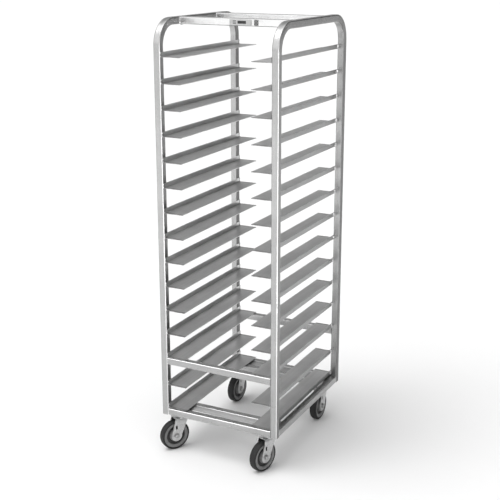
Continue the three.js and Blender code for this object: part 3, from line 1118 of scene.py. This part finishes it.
for name in CASTERS:
    at = caster_place(name)
    finish_node(f"caster_{name}_plate", zinc, PLATE_BEVEL)
    make_fork(name, at)
    make_axle(name, at)
    make_tyre(name, at)
    make_wheel(name, at)
    make_plate_bolts(name)

# -------- label

LABEL_BEVEL = 0.2 * MM
PRINT_RISE = 0.03 * MM
PRINT_THICK = 0.05 * MM
PATCH_GAP = 0.05 * MM
PATCH_THICK = 0.5 * MM
PATCH_BEVEL = 0.15 * MM

finish_node("label_plate", label_paper, LABEL_BEVEL)


def make_label_print():
    """Plain dark bars: one broad bar, with three short ones stacked beside it."""
    low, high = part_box("label_plate")
    middle_z = (low.z + high.z) / 2
    bars = [(low.x + 34 * MM, 0, 36 * MM, 11 * MM)]
    for rise in (-5 * MM, 0, 5 * MM):
        bars.append((low.x + 14 * MM, rise, 14 * MM, 2.4 * MM))
    mesh = bmesh.new()
    for left, rise, width, height in bars:
        corner = Vector((left, low.y - PRINT_RISE, middle_z + rise - height / 2))
        corners = []
        for x in (0, width):
            for y in (0, PRINT_THICK):
                for z in (0, height):
                    corners.append(mesh.verts.new(corner + Vector((x, y, z))))
        bmesh.ops.convex_hull(mesh, input=corners)
    add_piece("label_print", mesh, "frame", label_ink)


make_label_print()


def make_label_patch():
    """A small foil patch of dark and pale squares beside the label."""
    low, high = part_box("label_plate")
    bar_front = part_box("top_bar_front")[0].y
    left = high.x + 10 * MM
    width = 18 * MM
    height = 22 * MM
    middle = Vector((left + width / 2, bar_front - PATCH_GAP, (low.z + high.z) / 2))
    mesh = bmesh.new()
    outline = []
    for x, z in rounded_square(0.5, 0.08, 4):
        outline.append((x * width, z * height))
    back = add_ring(mesh, [middle + Vector((x, 0, z)) for x, z in outline])
    front = add_ring(mesh, [middle + Vector((x, -PATCH_THICK, z)) for x, z in outline])
    skin(mesh, back, front)
    mesh.faces.new(back)
    mesh.faces.new(front)
    patch = add_piece("label_patch", mesh, "frame", label_squares)
    soften(patch, PATCH_BEVEL)


make_label_patch()


def make_label_rivets():
    """Two small domed rivets at the label's ends."""
    low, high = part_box("label_plate")
    dome = [
        (2.2 * MM, -0.1 * MM),
        (2.2 * MM, 0.2 * MM),
        (1.7 * MM, 0.7 * MM),
        (0.9 * MM, 1.0 * MM),
        (0.2 * MM, 1.1 * MM),
    ]
    mesh = bmesh.new()
    for x in (low.x + 4 * MM, high.x - 4 * MM):
        at_end = Matrix.Translation((x, low.y, (low.z + high.z) / 2))
        add_turned(mesh, dome, 24, at_end @ Matrix.Rotation(-math.pi / 2, 4, "Z"), closed=False)
    add_piece("label_rivets", mesh, "frame", bolt_zinc)


make_label_rivets()

# -------- stage and light

FLOOR_RADIUS = 60
WALL_FRONT = 0.75
WALL_REAR = 0.06
CEILING = 1.3
POOL_SOURCE_RADIUS = 0.4

# A panel fades out from PANEL_CORE to PANEL_EDGE of its half width, and over these degrees above and below.
PANEL_CORE = 0.65
PANEL_EDGE = 1.35
PANEL_FOOT_SOFTNESS = 4
PANEL_HEAD_SOFTNESS = 6

# Each panel's azimuth, half width, lowest and highest elevation in degrees, and brightness.
LIGHT_PANELS = (
    (-30, 26, 4, 48, 0.8),
    (58, 14, -2, 4, 6.0),
    (-60, 30, 48, 72, 2.2),
    (-145, 45, -2, 60, 0.36),
)


def make_floor():
    """A wide pale floor at z = 0."""
    mesh = bmesh.new()
    bmesh.ops.create_circle(mesh, cap_ends=True, segments=96, radius=FLOOR_RADIUS)
    data = bpy.data.meshes.new("floor")
    mesh.to_mesh(data)
    mesh.free()
    floor = bpy.data.objects.new("floor", data)
    bpy.context.scene.collection.objects.link(floor)
    floor.data.materials.append(floor_paint())


def toward(azimuth, elevation=0.0):
    """A unit vector; azimuth in degrees from the front (-Y) towards the right (+X)."""
    across = math.radians(azimuth)
    up = math.radians(elevation)
    return (math.sin(across) * math.cos(up), -math.cos(across) * math.cos(up), math.sin(up))


def z_at(elevation):
    """The Z part of a unit vector at this elevation, in degrees."""
    return math.sin(math.radians(elevation))


def soft_panel(nodes, direction, azimuth, half_width, low, high, strength):
    """Brightness of a soft-edged light panel painted on the surroundings, angles in degrees."""
    flat = nodes.new("ShaderNodeVectorMath", operation="MULTIPLY")
    flat.inputs[1].default_value = (1, 1, 0)
    nodes.link(direction, flat.inputs[0])
    unit_flat = nodes.new("ShaderNodeVectorMath", operation="NORMALIZE")
    nodes.link(flat.outputs[0], unit_flat.inputs[0])
    facing = nodes.new("ShaderNodeVectorMath", operation="DOT_PRODUCT")
    facing.inputs[1].default_value = toward(azimuth)
    nodes.link(unit_flat.outputs[0], facing.inputs[0])
    edge = math.cos(math.radians(half_width * PANEL_EDGE))
    core = math.cos(math.radians(half_width * PANEL_CORE))
    across = nodes.ranged(facing.outputs["Value"], 0, strength, edge, core)
    up = component(nodes, direction, 2)
    foot = nodes.mask(up, z_at(low - PANEL_FOOT_SOFTNESS), z_at(low + PANEL_FOOT_SOFTNESS))
    head = nodes.ranged(up, 1, 0, z_at(high - PANEL_HEAD_SOFTNESS), z_at(high + PANEL_HEAD_SOFTNESS))
    return nodes.math("MULTIPLY", across, nodes.math("MULTIPLY", foot, head))


def make_world():
    """Studio surroundings: bright in front, dim behind, with LIGHT_PANELS, and plain white to the camera."""
    world = bpy.data.worlds.new("studio")
    bpy.context.scene.world = world
    world.use_nodes = True
    nodes = Nodes(world.node_tree)
    direction = nodes.new("ShaderNodeTexCoord").outputs["Generated"]
    walls = nodes.ranged(component(nodes, direction, 1), WALL_FRONT, WALL_REAR, -0.8, 0.5)
    ceiling = nodes.ranged(component(nodes, direction, 2), 0, CEILING, 0.7, 0.95)
    light = nodes.math("ADD", walls, ceiling)
    for panel in LIGHT_PANELS:
        light = nodes.math("ADD", light, soft_panel(nodes, direction, *panel))
    seen = nodes.new("ShaderNodeLightPath").outputs["Is Camera Ray"]
    strength = nodes.new("ShaderNodeMix", data_type="FLOAT")
    nodes.link(seen, strength.inputs["Factor"])
    nodes.link(light, strength.inputs["A"])
    strength.inputs["B"].default_value = 1.0
    background = nodes.new("ShaderNodeBackground")
    background.inputs["Color"].default_value = (1, 1, 1, 1)
    nodes.link(strength.outputs["Result"], background.inputs["Strength"])
    output = nodes.new("ShaderNodeOutputWorld")
    nodes.link(background.outputs[0], output.inputs["Surface"])


def make_sun(azimuth, elevation, strength, softness):
    """A broad, soft key light from one direction."""
    data = bpy.data.lights.new("key_light", "SUN")
    data.energy = strength
    data.angle = math.radians(softness)
    light = bpy.data.objects.new("key_light", data)
    bpy.context.scene.collection.objects.link(light)
    light.rotation_euler = (-Vector(toward(azimuth, elevation))).to_track_quat("-Z", "Y").to_euler()


def light_pool(name, azimuth, distance, height, cone, power):
    """A spot pointing straight down, to brighten the floor that one side of the rack reflects."""
    data = bpy.data.lights.new(name, "SPOT")
    data.energy = power
    data.spot_size = math.radians(cone)
    data.spot_blend = 1.0
    data.shadow_soft_size = POOL_SOURCE_RADIUS
    light = bpy.data.objects.new(name, data)
    bpy.context.scene.collection.objects.link(light)
    across, forward, _ = toward(azimuth)
    light.location = (across * distance, forward * distance, height)


make_floor()
make_world()
make_sun(azimuth=-25, elevation=62, strength=0.6, softness=40)
light_pool("front_pool", azimuth=-27, distance=7.0, height=6.0, cone=105, power=900)
light_pool("corner_pool_near", azimuth=55, distance=3.6, height=4.0, cone=60, power=2200)
light_pool("corner_pool_far", azimuth=58, distance=9.0, height=5.0, cone=75, power=3000)

scene = bpy.context.scene
scene.view_settings.view_transform = "Standard"
scene.view_settings.look = "None"
